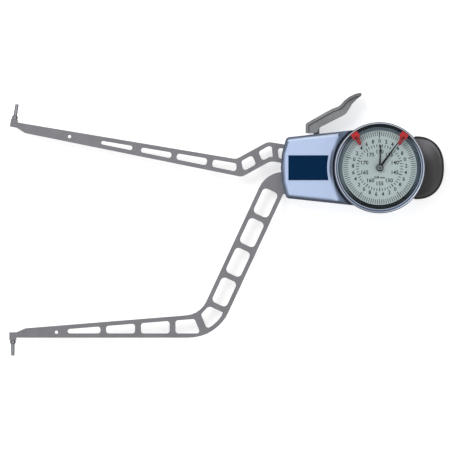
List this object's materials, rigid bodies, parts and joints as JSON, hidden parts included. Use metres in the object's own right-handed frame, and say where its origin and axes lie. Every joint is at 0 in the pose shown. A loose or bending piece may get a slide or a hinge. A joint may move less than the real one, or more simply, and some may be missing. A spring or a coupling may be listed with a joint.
{
  "type": "internal caliper gauge",
  "caption": "Dial caliper gauge for inside grooves: a fixed and a swinging cranked arm with contact pins, press lever, dial with tolerance markers, gear train and grip.",
  "frame": {"origin": "on the back face, under the centre of the dial", "axes": "+X along the gauge from the arm ends towards the grip, +Y towards the press lever, +Z out of the dial"},
  "size_m": [0.3122, 0.1888, 0.0295],
  "materials": {
    "arm_metal": "matt grey anodised",
    "lever_metal": "matt grey anodised",
    "housing_paint": "satin light blue lacquer",
    "cover_paint": "satin grey lacquer",
    "label": "bare navy plate",
    "steel": "ground steel",
    "dark_steel": "blackened steel",
    "brass": "turned brass",
    "bronze": "bearing bronze",
    "bezel_metal": "turned, blue-grey anodised",
    "dial_face": "matt grey-green with black graduation",
    "dial_ring": "dark blue-grey",
    "hand_black": "matt black",
    "marker_red": "red",
    "grip_plastic": "fine-grained black",
    "seal_rubber": "black",
    "crystal": "clear"
  },
  "bodies": {
    "housing": {"housing_shell": "housing_paint", "rear_cover": "cover_paint", "cover_screw_1": "dark_steel", "cover_screw_2": "dark_steel", "cover_screw_3": "dark_steel", "cover_screw_4": "dark_steel", "label_plate": "label", "grip": "grip_plastic", "grip_screw_1": "dark_steel", "grip_screw_2": "dark_steel", "lower_arm": "arm_metal", "lower_contact_pin": "steel", "arm_screw_1": "dark_steel", "arm_screw_2": "dark_steel", "arm_screw_3": "dark_steel", "pivot_shaft": "steel", "stop_pin": "steel", "lever_shaft": "steel", "spring_post": "steel", "return_spring": "dark_steel", "movement_plate": "brass", "movement_screw_1": "dark_steel", "movement_screw_2": "dark_steel", "movement_screw_3": "dark_steel", "movement_pillar_1": "brass", "movement_pillar_2": "brass", "movement_pillar_3": "brass", "movement_bridge": "brass", "hairspring": "steel", "hairspring_stud": "brass", "bezel_spring_ring": "steel"},
    "upper_arm": {"upper_arm": "arm_metal", "upper_contact_pin": "steel", "pivot_bush": "bronze", "gear_sector": "brass", "sector_screw_1": "dark_steel", "sector_screw_2": "dark_steel", "spring_hook_pin": "steel"},
    "lever": {"press_lever": "lever_metal", "lever_drive_pin": "steel"},
    "first_arbor": {"first_arbor": "steel", "transfer_wheel": "brass", "counter_drive_gear": "brass"},
    "main_pointer": {"centre_arbor": "steel", "main_hand": "hand_black"},
    "small_pointer": {"counter_tube": "brass", "counter_gear": "brass", "small_hand": "hand_black"},
    "bezel": {"bezel_ring": "bezel_metal", "crystal": "crystal", "crystal_gasket": "seal_rubber", "dial_plate": "dial_face", "dial_ring": "dial_ring"},
    "low_marker": {"low_limit_marker": "marker_red"},
    "high_marker": {"high_limit_marker": "marker_red"}
  },
  "joints": [
    {"name": "arm_pivot", "type": "hinge", "parent": "housing", "child": "upper_arm", "pos_m": [-0.05594, 0.00791, 0], "axis": [0, 0, 1], "range_deg": [0, 14.1], "stiffness_Nm_per_rad": 0.3, "springref_deg": -45.84, "deforming": ["return_spring"]},
    {"name": "lever_pivot", "type": "hinge", "parent": "housing", "child": "lever", "pos_m": [-0.0452, 0.0178, 0], "axis": [0, 0, 1], "range_deg": [-20.5, 0]},
    {"name": "first_arbor_spin", "type": "hinge", "parent": "housing", "child": "first_arbor", "pos_m": [-0.01525, 0.00216, 0], "axis": [0, 0, 1], "range_deg": [-373, 0], "deforming": ["hairspring"]},
    {"name": "main_pointer_spin", "type": "hinge", "parent": "housing", "child": "main_pointer", "pos_m": [0, 0, 0], "axis": [0, 0, 1], "range_deg": [0, 3727]},
    {"name": "small_pointer_spin", "type": "hinge", "parent": "housing", "child": "small_pointer", "pos_m": [0, 0, 0], "axis": [0, 0, 1], "range_deg": [0, 373]},
    {"name": "bezel_turn", "type": "hinge", "parent": "housing", "child": "bezel", "pos_m": [0, 0, 0], "axis": [0, 0, 1], "range_deg": [-18, 18]},
    {"name": "low_marker_turn", "type": "hinge", "parent": "bezel", "child": "low_marker", "pos_m": [0, 0, 0], "axis": [0, 0, 1], "range_deg": [-25, 100]},
    {"name": "high_marker_turn", "type": "hinge", "parent": "bezel", "child": "high_marker", "pos_m": [0, 0, 0], "axis": [0, 0, 1], "range_deg": [-100, 25]}
  ],
  "couplings": [
    {"joint": "lever_pivot", "follows": "arm_pivot", "ratio": -1.4335},
    {"joint": "first_arbor_spin", "follows": "arm_pivot", "ratio": -26.4},
    {"joint": "main_pointer_spin", "follows": "arm_pivot", "ratio": 264},
    {"joint": "small_pointer_spin", "follows": "arm_pivot", "ratio": 26.4}
  ]
}
